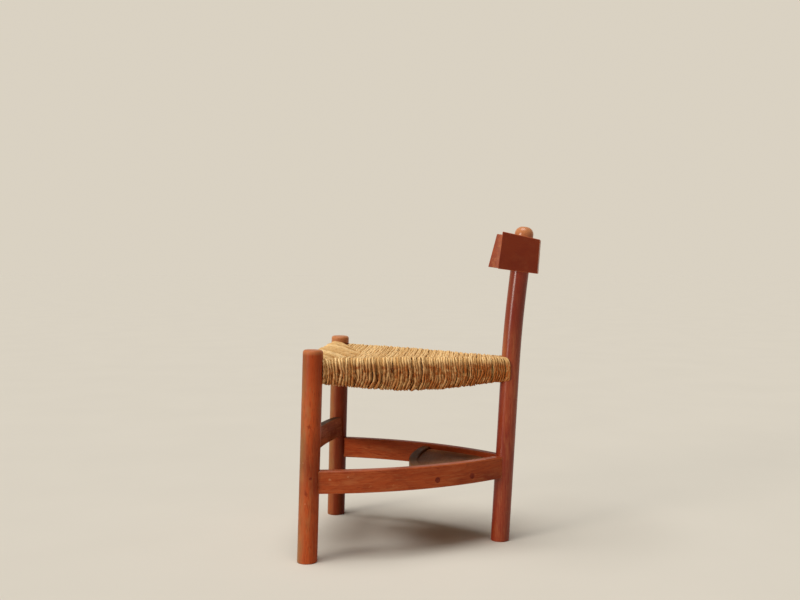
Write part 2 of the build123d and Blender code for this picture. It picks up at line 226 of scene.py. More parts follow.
def bentBoardGroup():
    tree, given, out = newGroup(
        "bentBoard",
        {"Vector": "Vector", "Centre": "Vector", "Bend": "Float"},
        {"Vector": "Vector"},
    )
    arm = vectors(tree, "SUBTRACT", given["Vector"], given["Centre"])[0]
    parts = put(tree, "SeparateXYZ", {0: arm}).outputs
    angle = calc(tree, "ARCTAN2", parts["Y"], parts["X"])
    squares = [calc(tree, "POWER", parts[axis], 2.0) for axis in ("X", "Y")]
    joined = put(tree, "CombineXYZ", {
        "X": times(tree, angle, given["Bend"]),
        "Y": calc(tree, "SQRT", calc(tree, "ADD", *squares)),
        "Z": parts["Z"],
    })
    tree.links.new(joined.outputs[0], out["Vector"])
    return tree


# One round mark, such as a small knot or a chip, with a ragged edge

spotPlan = {
    "ragged": {"scale": 420.0},
    "raggedRange": (0.3, 0.7, 0.6, 1.4),
    "rimRange": (0.55, 1.05, 1.0, 0.0),     # in shares of its size
}


def spotGroup():
    tree, given, out = newGroup(
        "spot",
        {"Vector": "Vector", "Place": "Vector", "Size": "Float"},
        {"Mask": "Float"},
    )
    away = vectors(tree, "DISTANCE", given["Vector"], given["Place"])["Value"]
    ragged = pattern(tree, given["Vector"], spotPlan["ragged"])
    away = times(tree, away, mask(tree, ragged, *spotPlan["raggedRange"]))
    share = calc(tree, "DIVIDE", away, given["Size"])
    tree.links.new(mask(tree, share, *spotPlan["rimRange"]), out["Mask"])
    return tree


woodFigure = woodFigureGroup()
stainCoat = stainCoatGroup()
rubbedEdge = rubbedEdgeGroup()
bentBoard = bentBoardGroup()
spot = spotGroup()
print("node groups made")


# Materials

def newMaterial(name):
    material = bpy.data.materials.new(name)
    material.use_nodes = True
    tree = material.node_tree
    where = put(tree, "TexCoord").outputs["Object"]
    return material, tree, tree.nodes["Principled BSDF"], where


def axesOf(tree, vector):
    return put(tree, "SeparateXYZ", {0: vector}).outputs


def addBump(tree, shader, height, strength, distance):
    sockets = {"Height": height, "Strength": strength, "Distance": distance}
    tree.links.new(put(tree, "Bump", sockets).outputs[0], shader.inputs["Normal"])


upright = (0, math.radians(90), 0)      # turns a grain along Z to X
flatwise = (0, 0, 0)                    # a grain along X stays

woodWear = {
    "bend": 0.64,                       # radius of the bent boards
    "thin": {"drawn": 0.2, "scale": 45.0, "detail": 5.0, "roughness": 0.62},
    "thinRange": (0.34, 0.66, 0.3, 1.0),
    "frontMost": -0.95,                 # Y of the normal where the fading and painted sheen are full
    "shadeBelowRange": (0.0, 1.0, 0.75, 0.0),
    "backShadeRange": (-0.5, 0.0),
    "upRange": (0.5, 0.9),
    "crownBand": 0.007,
    "endRange": (0.86, 0.95),
    "endShare": 0.85,
    "bareRim": 0.002,
    "knotShare": 0.75,
    "chipShare": 0.3,
    "bump": (0.35, 0.0006),
}


# How years of use change the stain from one side and height of a piece to another, with painted
# shade and painted sheen where the light falls
def wearAndPaintedLight(tree, look, colour, where, along):
    normal = axesOf(tree, put(tree, "NewGeometry").outputs["Normal"])
    level = axesOf(tree, where)["Z"]
    deep, pale = look["deep"], look["pale"]
    if "fadeAndSheen" in look:         # stain worn thin on the side toward the front, and painted sheen of the front light there
        thin = mask(tree, pattern(tree, along, woodWear["thin"]), *woodWear["thinRange"])
        toFront = mask(tree, normal["Y"], look["fadeAndSheenFrom"], woodWear["frontMost"])
        worn = times(tree, toFront, times(tree, thin, look["fadeAndSheen"]))
        if "fadeAndSheenAbove" in look:    # under the seat nothing rubs it, and there its front side gets painted shade
            above = mask(tree, level, *look["fadeAndSheenAbove"])
            worn = times(tree, worn, above)
            shadeBelowSeat = times(tree, toFront, mask(tree, above, *woodWear["shadeBelowRange"]))
            colour = blendColour(tree, shadeBelowSeat, colour, deep)
        colour = blendColour(tree, worn, colour, pale)
    if "shadeBack" in look:      # painted shade on the side toward the back, away from the light
        back = mask(tree, normal["Y"], *woodWear["backShadeRange"])
        colour = blendColour(tree, times(tree, back, look["shadeBack"]), colour, deep)
    if "deepStainAndShadeAbove" in look:     # darker higher up: on the post a deeper stain, on the right board painted shade under the seat
        rich = mask(tree, level, *look["deepStainAndShadeAbove"], 0.0, look["rich"])
        colour = blendColour(tree, rich, colour, deep)
    if "dim" in look:           # painted shade on the faces that look up, under the seat
        upward = times(tree, mask(tree, normal["Z"], *woodWear["upRange"]), look["dim"])
        colour = blendColour(tree, upward, colour, look.get("upShadeColour", deep))
    if "crown" in look:         # a top end polished by hands
        high = mask(tree, level, look["crown"], look["crown"] + woodWear["crownBand"])
        high = times(tree, high, look["crownRub"])
        colour = blendColour(tree, high, colour, look.get("polished", pale))
    if "endGrain" in look:      # ends across X take more stain
        ends = mask(tree, calc(tree, "ABSOLUTE", normal["X"]), *woodWear["endRange"])
        ends = times(tree, ends, woodWear["endShare"])
        colour = blendColour(tree, ends, colour, look["endGrain"])
    edges = useGroup(tree, rubbedEdge, {"Vector": where, "Reach": look["edgeReach"]})["Mask"]
    if "bareBand" in look:      # the rims of peg and plug holes stay stained
        middle, half = look["bareBand"]
        away = calc(tree, "ABSOLUTE", calc(tree, "SUBTRACT", level, middle))
        edges = times(tree, edges, mask(tree, away, half - woodWear["bareRim"], half))
    return blendColour(tree, times(tree, edges, look["edgeRub"]), colour, pale)


def markedWood(tree, look, colour, where):
    marks = [(mark, look["deep"], woodWear["knotShare"]) for mark in look.get("knots", ())]
    marks += [(mark, look["chip"], woodWear["chipShare"]) for mark in look.get("chips", ())]
    for (place, size), tone, strength in marks:
        share = useGroup(tree, spot, {"Vector": where, "Place": place, "Size": size})["Mask"]
        colour = blendColour(tree, times(tree, share, strength), colour, tone)
    return colour


def stainedWood(name, look):
    material, tree, shader, where = newMaterial(name)
    if "centre" in look:
        bend = {"Vector": where, "Centre": look["centre"], "Bend": woodWear["bend"]}
        along = useGroup(tree, bentBoard, bend)["Vector"]
    else:
        along = put(tree, "Mapping", {"Vector": where, "Rotation": look["grain"]}).outputs[0]
    figure = useGroup(tree, woodFigure, {"Vector": along, "Ring Count": look["rings"]})
    coat = useGroup(tree, stainCoat, {
        "Vector": where,
        "Along": along,
        "Rings": figure["Rings"],
        "Fibre": figure["Fibre"],
        "Pores": figure["Pores"],
        "Pale": look["pale"],
        "Middle": look["middle"],
        "Deep": look["deep"],
        "Rub": look["rub"],
    })
    colour = wearAndPaintedLight(tree, look, coat["Color"], where, along)
    colour = markedWood(tree, look, colour, where)
    tree.links.new(colour, shader.inputs["Base Color"])
    tree.links.new(coat["Roughness"], shader.inputs["Roughness"])
    shader.inputs["Specular IOR Level"].default_value = look["gloss"]
    shader.inputs["Coat Weight"].default_value = look["varnish"]
    shader.inputs["Coat Roughness"].default_value = look["sheen"]
    addBump(tree, shader, coat["Height"], *woodWear["bump"])
    return material


redStain = {
    "pale": (0.58, 0.235, 0.088, 1),
    "middle": (0.385, 0.078, 0.019, 1),
    "deep": (0.22, 0.028, 0.007, 1),
    "chip": (0.66, 0.36, 0.18, 1),
    "rings": 34.0,
    "rub": 0.36,
    "rich": 0.6,
    "edgeReach": 0.003,
    "edgeRub": 0.7,
    "gloss": 0.06,
    "varnish": 0.08,
    "sheen": 0.3,
}
legLook = {
    **redStain,
    "grain": upright,
    "pale": (0.3, 0.175, 0.066, 1),
    "middle": (0.47, 0.075, 0.0155, 1),
    "fadeAndSheen": 0.7,
    "fadeAndSheenFrom": 0.15,
    "polished": (0.55, 0.22, 0.09, 1),
    "crown": 0.438,
    "crownRub": 0.5,
    "bareBand": (0.18, 0.02),
    "varnish": 0.1,
}
# The far leg stands in the seat's shade: its darker colours and darker back side are painted shade
farLegLook = {
    **legLook,
    "middle": (0.33, 0.055, 0.014, 1),
    "deep": (0.15, 0.02, 0.006, 1),
    "shadeBack": 0.7,
    "crown": 0.43,
    "crownRub": 0.8,
}
nearLegLook = {
    **legLook,
    "deepStainAndShadeAbove": (0.34, 0.42),
    "rich": 0.4,
    "knots": [((0.2176, -0.2262, 0.2902), 0.0042), ((0.2199, -0.2326, 0.1482), 0.0045)],
    "chips": [((0.2157, -0.2395, 0.2137), 0.0016), ((0.2199, -0.2348, 0.1281), 0.0018)],
}
postLook = {
    **redStain,
    "grain": upright,
    "middle": (0.3, 0.044, 0.0115, 1),
    "deep": (0.2, 0.016, 0.004, 1),
    "rub": 0.2,
    "fadeAndSheen": 0.45,
    "fadeAndSheenFrom": -0.35,
    "fadeAndSheenAbove": (0.395, 0.43),
    "deepStainAndShadeAbove": (0.42, 0.52),
    "crown": 0.684,
    "crownRub": 0.8,
    "gloss": 0.03,
    "varnish": 0.55,
    "sheen": 0.22,
}
sideBowCentre = (0.4397, -0.2807)       # of the right board's bend; the left one is its mirror
frontBowCentre = 0.3880
sideBoardLook = {
    **redStain,
    "middle": (0.385, 0.069, 0.017, 1),
    "rub": 0.22,
    "edgeRub": 0.9,
    "bareBand": (0.1703, 0.018),
}
frontBoardLook = {
    **redStain,
    "centre": (0, frontBowCentre, 0),
    "middle": (0.5, 0.132, 0.052, 1),
    "rub": 0.25,
    "edgeRub": 0.4,
    # painted shade on its top face, under the seat
    "upShadeColour": (0.05, 0.02, 0.01, 1),
    "dim": 1.0,
    "gloss": 0.005,
    "varnish": 0.0,
}
leftBoardLook = {
    **sideBoardLook,
    "centre": (-sideBowCentre[0], sideBowCentre[1], 0),
    "chips": [((0.2031, -0.1845, 0.1760), 0.0025), ((0.1964, -0.1472, 0.1816), 0.0022)],
}
rightBoardLook = {
    **sideBoardLook,
    "centre": (sideBowCentre[0], sideBowCentre[1], 0),
    # its upper part gets painted shade under the seat
    "deepStainAndShadeAbove": (0.168, 0.196),
    "dim": 0.7,
    "gloss": 0.03,
    "varnish": 0.03,
}
backrestLook = {
    **redStain,
    "grain": flatwise,
    "rings": 26.0,
    "rub": 0.35,
    "endGrain": (0.135, 0.0155, 0.0055, 1),
    "edgeRub": 0.55,
    "varnish": 0.15,
    "sheen": 0.25,
}
shelfLook = {
    **redStain,
    "grain": flatwise,
    "pale": (0.26, 0.13, 0.06, 1),
    "middle": (0.36, 0.15, 0.066, 1),
    "deep": (0.2, 0.078, 0.034, 1),
    "rub": 0.25,
    "edgeRub": 0.3,
    "gloss": 0.005,
    "varnish": 0.0,
}
lipLook = {
    **shelfLook,
    "pale": (0.17, 0.078, 0.03, 1),
    "middle": (0.2, 0.082, 0.03, 1),
    "deep": (0.11, 0.042, 0.015, 1),
}
plugLook = {
    **redStain,
    "grain": flatwise,
    "pale": (0.3, 0.06, 0.022, 1),
    "middle": (0.23, 0.032, 0.012, 1),
    "deep": (0.12, 0.014, 0.006, 1),
    "edgeRub": 0.0,
    "varnish": 0.05,
}
railTurn = math.radians(64)             # of the side seat rails, away from X
bareLook = {
    **redStain,
    "grain": flatwise,
    "pale": (0.62, 0.45, 0.28, 1),
    "middle": (0.46, 0.3, 0.16, 1),
    "deep": (0.3, 0.17, 0.08, 1),
    "varnish": 0.0,
}

woodFinishes = {
    "front_leg_left": nearLegLook,
    "front_leg_right": farLegLook,
    "back_post": postLook,
    "backrest": backrestLook,
    "front_stretcher": frontBoardLook,
    "left_stretcher": leftBoardLook,
    "right_stretcher": rightBoardLook,
    "corner_shelf": shelfLook,
    "shelf_lip": lipLook,
    "front_seat_rail": bareLook,
    "left_seat_rail": {**bareLook, "grain": (0, 0, railTurn)},
    "right_seat_rail": {**bareLook, "grain": (0, 0, -railTurn)},
    "stretcher_pegs": plugLook,
    "shelf_plugs": plugLook,
}


def dress(name, material):
    mesh = nodes[name].data
    mesh.materials.clear()
    mesh.materials.append(material)


for name, look in woodFinishes.items():
    first, *rest = name.split("_")
    dress(name, stainedWood(first + "".join(word.title() for word in rest) + "Wood", look))
print("wood finished on", len(woodFinishes), "pieces")


screwLook = {
    "bright": (0.5, 0.5, 0.5, 1),
    "dull": (0.3, 0.25, 0.2, 1),
    "film": {"scale": 900.0, "detail": 3.0},
    "filmRange": (0.4, 0.7),
    "roughRange": (0.3, 0.8, 0.25, 0.5),
    "bump": (0.2, 0.0002),
}


def screwSteel(look):
    material, tree, shader, where = newMaterial("screwSteel")
    film = pattern(tree, where, look["film"])
    colour = blendColour(tree, mask(tree, film, *look["filmRange"]), look["bright"], look["dull"])
    tree.links.new(colour, shader.inputs["Base Color"])
    tree.links.new(mask(tree, film, *look["roughRange"]), shader.inputs["Roughness"])
    shader.inputs["Metallic"].default_value = 1.0
    addBump(tree, shader, film, *look["bump"])
    return material


dress("shelf_screws", screwSteel(screwLook))


# Rush: twisted straw strands over the three rails, each laid as a smooth curve

rush = {
    "railFront": Vector((0.1944, -0.2225, 0.405)),  # middle of the left side rail, at the leg
    "railBack": Vector((0.0, 0.1966, 0.393)),       # the same at the post
    "railReach": 0.0187,            # from the rail's middle out to the rush's face
    "railRise": 0.028,              # from the rail's middle up to the rush's top
    "topRise": 0.004,               # of the top's edges, halfway from leg to post
    "sag": 0.0185,                  # of the lower edge, at its lowest
    "sagShift": 1.06,               # above 1 the lowest place moves toward the post
    "sagShape": 1.3,                # above 1 the ends of the edge stay flatter
    "dip": 0.0055,                  # of the top's middle below its edges
    "dipGrowth": (8, 4),            # how fast it comes in from the legs and from the post
    "dipShape": 4,                  # higher keeps the top flatter up to its edges
    "belly": 0.006,                 # of the underside's middle below its edges
    "frontRailY": -0.2223,
    "frontRailZ": 0.4115,
    "frontReach": 0.017,
    "frontHalfWidth": 0.1696,
    "apexY": -0.1393,               # where the two mitre lines meet
    "apexUnder": 0.370,
    "mitreX": 0.176,                # the mitre lines' front ends, by the legs
    "mitreY": -0.1930,
    "mitreTop": 0.4255,             # height of the front strands where they end
    "mitreFall": 0.0045,            # how much lower some of them end
    "firstY": -0.1980,
    "lastY": 0.1940,
    "squeezeY": 0.1415,             # behind this the strands crowd before the post
    "postFrontY": 0.1735,
    "postMiddleY": 0.1976,
    "postReach": 0.0238,            # from the post's middle to a strand laid against it
    "hug": 1.3,                     # how late a cross strand bends back to its place on the rail
    "postHug": 1.7,                 # added to it by the post
    "topEase": 0.026,               # length of the strands' bend over a side rail
    "frontEase": 0.012,             # and over the front rail
    "underEase": 0.030,             # and from the side to the underside
    "easeShare": 0.6,               # the most that a bend takes of half the seat's width
    "faceLow": 0.6,                 # the straight face starts and ends these shares of an ease
    "faceHigh": 1.05,               # from the lower and the upper edge
    "facePoints": 4,
    "underLean": 0.012,             # how far a strand slants to the front on its way under
    "leanWithin": 0.5,              # share of half the width in which it does
    "leanLeft": 0.55,               # share of that slant left at the lower edge
    "cornerLean": 1.24,             # how corner strands fan out toward the mitre
    "cornerRoom": 0.016,            # their ends stay this far inside the seat's side
    "cornerTail": 0.012,            # how far they run on under the front strands
    "cornerLip": 0.003,             # how far before the mitre they start to dive
    "cornerTuck": 0.001,            # how far past it they are under the front strands
    "cornerGap": 0.006,             # the free run over the seat ends this far before it
    "dive": 0.0065,                 # how far down their ends go
    "frontTail": [(0.004, 0.010), (0.002, 0.004)],  # front strands' ends: back and down
    "frontStop": 0.003,             # their free run ends this far before the mitre
    "underStop": 0.002,             # and they turn up this far before it below
    "step": 0.021,                  # between a route's points
}
strand = {
    "seed": 11,
    "pitch": 0.0061,                # of the front strands
    "crossPitch": 0.0055,
    "crowding": 0.12,               # share by which cross strands lie closer at the post
    "radius": 0.0025,
    "sizes": (0.86, 1.12),          # from strand to strand
    "swell": (0.82, 1.18),          # along one strand
    "bedInset": 0.0043,             # middle of the strands laid first, below the rest
    "bedRadius": 0.0024,
    "lobes": 2,
    "lobe": 0.00042,                # how far a lobe of the twist stands out
    "twist": 0.036,                 # length of a full turn of the twist
    "sunkShare": 0.2,               # of strands that lie deeper
    "sunkDepth": (0.0005, 0.0012),
    "laidDepth": (0.0, 0.0003),
    "toneSpread": 0.17,
    "droop": 0.0006,                # below the seat's lower edge
    "sideBow": 0.0026,              # how far a strand bends back on the seat's side
    "bowSpread": 0.5,
    "uvPerMetre": 10,
}
strandMesh = {"sides": 8, "steps": 4}       # steps are those from point to point
bedMesh = {"sides": 6, "steps": 2}
dice = random.Random(strand["seed"])


def shareAt(y):
    run = rush["railBack"].y - rush["railFront"].y
    return min(max((y - rush["railFront"].y) / run, 0.0), 1.0)


def seatHull(y):
    share = shareAt(y)
    swell = math.sin(math.pi * share)
    sag = rush["sag"] * math.sin(math.pi * share ** rush["sagShift"]) ** rush["sagShape"]
    halfWidth = rush["railFront"].x * (1 - share) + rush["railReach"]
    middle = rush["railFront"].z + (rush["railBack"].z - rush["railFront"].z) * share
    top = middle + rush["railRise"] + rush["topRise"] * swell
    low = middle - rush["railRise"] - sag
    fromLegs, fromPost = rush["dipGrowth"]
    dip = rush["dip"] * min(1.0, fromLegs * share, fromPost * (1 - share))
    return halfWidth, top, low, dip, rush["belly"] * swell


def spaced(first, last):
    count = max(1, round(abs(last - first) / rush["step"]))
    return [first + (last - first) * i / count for i in range(count)]


# A front strand falls from the rail's top to its end at the mitre, and below it rises or falls
def frontFall(y, meet, edge, end):
    start = rush["frontRailY"] + rush["frontReach"] / 2
    return edge + (end - edge) * min(max((y - start) / (meet - start), 0.0), 1.0)


def frontTop(y, meet, inset, fall):
    edge = rush["frontRailZ"] + rush["railRise"]
    return frontFall(y, meet, edge, rush["mitreTop"] - fall) - inset


def frontUnder(y, inset):
    edge = rush["frontRailZ"] - rush["railRise"]
    return frontFall(y, rush["apexY"], edge, rush["apexUnder"]) + inset


def mitreAcross(y):
    return rush["mitreX"] * (rush["apexY"] - y) / (rush["apexY"] - rush["mitreY"])


def mitreDeep(x):
    return rush["apexY"] - (rush["apexY"] - rush["mitreY"]) * abs(x) / rush["mitreX"]


def easeWithin(ease, outer):
    return min(ease, rush["easeShare"] * outer)


def besidePost(y):
    return math.sqrt(max(rush["postReach"] ** 2 - (rush["postMiddleY"] - y) ** 2, 0.0))


# The hindmost that a strand may lie at x, so that it passes in front of the post
def beforePost(x):
    return rush["postMiddleY"] - math.sqrt(max(rush["postReach"] ** 2 - x * x, 0.0))


# One side of a cross strand, from the underside's middle round the rail to the top's middle
def sideProfile(y, inset, droop=0.0):
    halfWidth, top, low, dip, belly = seatHull(y)
    outer = max(halfWidth - inset, besidePost(y))
    high = top - inset
    deep = low + inset - droop
    ease = easeWithin(rush["underEase"], outer)
    under = [(x, deep - belly * (1 - (x / outer) ** 2)) for x in spaced(0.0, outer - ease)]
    lowest = deep + rush["faceLow"] * rush["underEase"]
    highest = high - rush["faceHigh"] * rush["topEase"]
    parts = rush["facePoints"] - 1
    face = [(outer, lowest + (highest - lowest) * i / parts) for i in range(parts + 1)]
    corner = [(outer - ease, deep), (outer, deep)] + face + [(outer, high)]
    ease = easeWithin(rush["topEase"], outer)
    shape = rush["dipShape"]
    over = [(x, high - dip * (1 - (x / outer) ** shape)) for x in spaced(outer - ease, 0.0)]
    return outer, under + corner + over, high - dip, deep - belly


# A strand on the seat's side bends back between the two edges
def sideBend(x, z, outer, profile, bow):
    if x < outer:
        return 0.0
    low = min(p[1] for p in profile if p[0] == outer)
    high = max(p[1] for p in profile if p[0] == outer)
    return bow * math.sin(math.pi * (z - low) / (high - low))


def crossRoute(y, inset, droop, bow):
    outer, profile, topMiddle = sideProfile(y, inset, droop)[:3]
    room = rush["lastY"] - rush["squeezeY"]
    crowd = max(y - rush["squeezeY"], 0.0) / room
    middleY = y - crowd * (rush["lastY"] - rush["postFrontY"])
    hug = rush["hug"] + rush["postHug"] * crowd ** 2
    half = strand["crossPitch"] / 2
    underCount = len(spaced(0.0, outer - easeWithin(rush["underEase"], outer)))
    route = []
    for side in (1, -1):
        run = []
        for i, (x, z) in enumerate(profile):
            deepY = min(middleY + (y - middleY) * (x / outer) ** hug, beforePost(x))
            if i <= underCount:
                within = min(x / (rush["leanWithin"] * outer), 1.0)
                deepY -= rush["underLean"] * (1 - crowd) * within
            if i == underCount + 1:
                deepY -= rush["underLean"] * (1 - crowd) * rush["leanLeft"]
            if i < underCount:
                deepY -= side * half * (1 - x / outer)
            bend = sideBend(x, z, outer, profile, bow)
            run.append((side * x, deepY + bend, z))
        if side > 0:
            run.append((0.0, middleY, topMiddle))
        else:
            run.reverse()
        route += run
    return [Vector(p) for p in route]


# A strand over a side rail by a front corner: both ends dive under the front strands
def cornerRoute(y, side, inset, droop, bow):
    outer, profile = sideProfile(y, inset, droop)[:2]
    innerY = rush["apexY"] - (rush["apexY"] - y) * rush["cornerLean"]
    topZ, underZ = sideProfile(innerY, inset)[2:]
    meet = min(mitreAcross(innerY), outer - rush["cornerRoom"])
    inside = [p for p in profile if p[0] > meet + rush["cornerGap"]]
    topEnd = min(topZ, rush["mitreTop"] - inset) - rush["dive"]
    underEnd = max(underZ, frontUnder(innerY, inset)) + rush["dive"]
    lip, tuck, tail = rush["cornerLip"], rush["cornerTuck"], rush["cornerTail"]
    below = [(meet - tail, underEnd), (meet - tuck, underEnd - tuck), (meet + lip, underZ)]
    above = [(meet + lip, topZ), (meet - tuck, topEnd + tuck), (meet - tail, topEnd)]
    route = []
    for x, z in below + inside + above:
        share = min(max((outer - x) / (outer - meet), 0.0), 1.0)
        bend = sideBend(x, z, outer, profile, bow)
        route.append(Vector((side * x, y + (innerY - y) * share + bend, z)))
    return route


# A strand over the front rail, from the mitre on top round the rail to the mitre below
def frontRoute(x, inset, fall):
    face = rush["frontRailY"] - rush["frontReach"] + inset
    high = rush["frontRailZ"] + rush["railRise"] - inset
    deep = rush["frontRailZ"] - rush["railRise"] + inset
    meet = mitreDeep(x)
    stop = meet - rush["frontStop"]
    ease = rush["frontEase"]
    topEnd = rush["mitreTop"] - fall - inset
    underEnd = frontUnder(meet, inset)
    top = [(meet + back, topEnd - down) for back, down in rush["frontTail"]]
    top += [(y, frontTop(y, meet, inset, fall)) for y in spaced(stop, face + ease)]
    bend = [
        (face + ease, high), (face, high), (face, high - ease), (face, rush["frontRailZ"]),
        (face, deep + ease), (face, deep), (face + ease, deep),
    ]
    under = [(y, frontUnder(y, inset)) for y in spaced(face + ease, stop)][1:]
    under.append((meet - rush["underStop"], underEnd))
    under += [(meet + back, underEnd + up) for back, up in reversed(rush["frontTail"])]
    return [Vector((x, y, z)) for y, z in top + bend + under]


# Hand-laid unevenness: slow sways, a slant on the side, and small shifts along the rail

alongFront, alongSide = 0, 1            # the axes, X and Y, in which strands stray
hand = {
    "waves": (0.9, 1.6),                # of the sway, in radians from point to point
    "jitter": 0.6,                      # share of the shift at each point
    "lift": 0.0003,
    "corner": (0.0006, 0.0005, 0.0005),     # sway, shift and slant
    "cross": (0.0008, 0.0007, 0.0008),
    "front": (0.0005, 0.0004),
    "crossBed": (0.0004, 0.0003),
    "frontBed": (0.0003, 0.0003),
}


def handLaid(route, axis, sway, shift, slant=0.0):
    phase = dice.uniform(0, math.tau)
    wave = dice.uniform(*hand["waves"])
    lean = dice.gauss(0, shift)
    tilt = dice.gauss(0, slant)
    middle = (max(p.z for p in route) + min(p.z for p in route)) / 2
    for i, point in enumerate(route):
        jitter = dice.gauss(0, shift * hand["jitter"])
        point[axis] += sway * math.sin(phase + wave * i) + lean + jitter
        point[axis] += tilt * (point.z - middle) / rush["railRise"]
        point.z += dice.gauss(0, hand["lift"])
    return route


# Turns a route into a twisted tube, and pours it into the weave
def layStrand(weave, route, radius, tone, plan=strandMesh):
    sides = plan["sides"]
    line = bpy.data.curves.new("strand", "CURVE")
    line.dimensions = "3D"
    line.bevel_depth = radius
    line.bevel_resolution = sides // 2 - 2      # which gives that many sides
    line.resolution_u = plan["steps"]
    spline = line.splines.new("NURBS")
    spline.points.add(len(route) - 1)
    for knot, place in zip(spline.points, route):
        knot.co = (*place, 1)
        knot.radius = dice.uniform(*strand["swell"])
    spline.order_u = 3
    spline.use_endpoint_u = True
    holder = bpy.data.objects.new("strand", line)
    mesh = bpy.data.meshes.new_from_object(holder)
    tube = bmesh.new()
    tube.from_mesh(mesh)
    tube.verts.ensure_lookup_table()
    toneLayer = tube.verts.layers.float.new("strandTone")
    lobeLayer = tube.verts.layers.float.new("strandLobe")
    turn = dice.uniform(0, math.tau)
    length = 0.0
    before = None
    moves = []
    for start in range(0, len(tube.verts), sides):
        ring = tube.verts[start:start + sides]
        middle = sum((v.co for v in ring), Vector()) / sides
        if before is not None:
            length += (middle - before).length
        before = middle
        for i, v in enumerate(ring):
            angle = math.tau * i / sides + math.tau * length / strand["twist"] + turn
            v[toneLayer] = tone
            v[lobeLayer] = math.cos(strand["lobes"] * angle)
            moves.append((v, (v.co - middle).normalized() * strand["lobe"] * v[lobeLayer]))
    for v, move in moves:
        v.co += move
    uvLayer = tube.loops.layers.uv.active
    for face in tube.faces:
        for loop in face.loops:
            loop[uvLayer].uv.x *= length * strand["uvPerMetre"]
    rims = [e for e in tube.edges if e.is_boundary]
    bmesh.ops.holes_fill(tube, edges=rims, sides=sides)
    for face in tube.faces:
        face.smooth = True
    tube.to_mesh(mesh)
    tube.free()
    weave.from_mesh(mesh)
    bpy.data.meshes.remove(mesh)
    bpy.data.objects.remove(holder)
    bpy.data.curves.remove(line)


# Strands lie in bundles of a few alike, some bundles deeper or darker than others

sideBundle = {"count": (2, 4), "depth": 0.0006, "spread": 0.17}
frontBundle = {"count": (3, 6), "depth": 0.0012, "spread": 0.3}
middleTone = 0.5
bundle = {**sideBundle, "left": 0, "inset": 0.0, "fall": 0.0, "tone": middleTone}


def nextInBundle():
    if bundle["left"] == 0:
        bundle["left"] = dice.randint(*bundle["count"])
        bundle["inset"] = dice.uniform(0.0, bundle["depth"])
        bundle["fall"] = dice.uniform(0.0, rush["mitreFall"])
        bundle["tone"] = dice.gauss(middleTone, bundle["spread"])
    bundle["left"] -= 1


def strandSize():
    return strand["radius"] * dice.uniform(*strand["sizes"])


def strandInset(radius):
    nextInBundle()
    sunk = dice.random() < strand["sunkShare"]
    depth = dice.uniform(*strand["sunkDepth" if sunk else "laidDepth"])
    return radius + bundle["inset"] + depth


def strandTone():
    return min(max(dice.gauss(bundle["tone"], strand["toneSpread"]), 0.0), 1.0)


def strandDroop():
    return abs(dice.gauss(0, strand["droop"]))


def strandBow():
    return strand["sideBow"] * dice.gauss(1.0, strand["bowSpread"])


def finishWeave(weave, name):
    mesh = bpy.data.meshes.new(name)
    weave.to_mesh(mesh)
    weave.free()
    piece = bpy.data.objects.new(name, mesh)
    scene.collection.objects.link(piece)
    print(name, len(mesh.polygons), "faces")
    return piece


# Places along the rails; a shift of half a pitch puts a strand in each gap
def crossPlaces(shift):
    run = rush["lastY"] - rush["firstY"]
    count = round(run / strand["crossPitch"])
    shares = [(i + shift) / count for i in range(count + (shift == 0))]
    return [rush["firstY"] + run * s * (1 + strand["crowding"] * (1 - s)) for s in shares]


def frontPlaces(shift):
    half = rush["frontHalfWidth"]
    count = round(2 * half / strand["pitch"])
    return [half * (2 * (i + shift) / count - 1) for i in range(count + (shift == 0))]


# Cross strands get thinner toward the post, as they lie closer there
def slimAt(y):
    share = (y - rush["firstY"]) / (rush["lastY"] - rush["firstY"])
    return (1 + strand["crowding"] * (1 - 2 * share)) * strand["crossPitch"] / strand["pitch"]


def layCrossStrands():
    weave = bmesh.new()
    for y in crossPlaces(0):
        if y < rush["apexY"]:
            for side in (1, -1):
                radius = strandSize() * slimAt(y)
                route = cornerRoute(y, side, strandInset(radius), strandDroop(), strandBow())
                layStrand(weave, handLaid(route, alongSide, *hand["corner"]), radius, strandTone())
        else:
            radius = strandSize() * slimAt(y)
            route = crossRoute(y, strandInset(radius), strandDroop(), strandBow())
            layStrand(weave, handLaid(route, alongSide, *hand["cross"]), radius, strandTone())
    return finishWeave(weave, "rushCrossStrands")


def layFrontStrands():
    weave = bmesh.new()
    bundle.update({**frontBundle, "left": 0})
    for x in frontPlaces(0):
        radius = strandSize()
        inset = strandInset(radius)
        route = frontRoute(x, inset, bundle["fall"])
        layStrand(weave, handLaid(route, alongFront, *hand["front"]), radius, strandTone())
    return finishWeave(weave, "rushFrontStrands")


# The strands laid first, half hidden in the gaps between the others
def layBedStrands():
    weave = bmesh.new()
    inset, radius, bow = strand["bedInset"], strand["bedRadius"], strand["sideBow"]
    for y in crossPlaces(0.5):
        if y < rush["apexY"]:
            routes = [cornerRoute(y, side, inset, 0.0, bow) for side in (1, -1)]
        else:
            routes = [crossRoute(y, inset, 0.0, bow)]
        slim = radius * slimAt(y)
        for route in routes:
            route = handLaid(route, alongSide, *hand["crossBed"])
            layStrand(weave, route, slim, strandTone(), bedMesh)
    for x in frontPlaces(0.5):
        route = handLaid(frontRoute(x, inset, rush["mitreFall"]), alongFront, *hand["frontBed"])
        layStrand(weave, route, radius, strandTone(), bedMesh)
    return finishWeave(weave, "rushBedStrands")


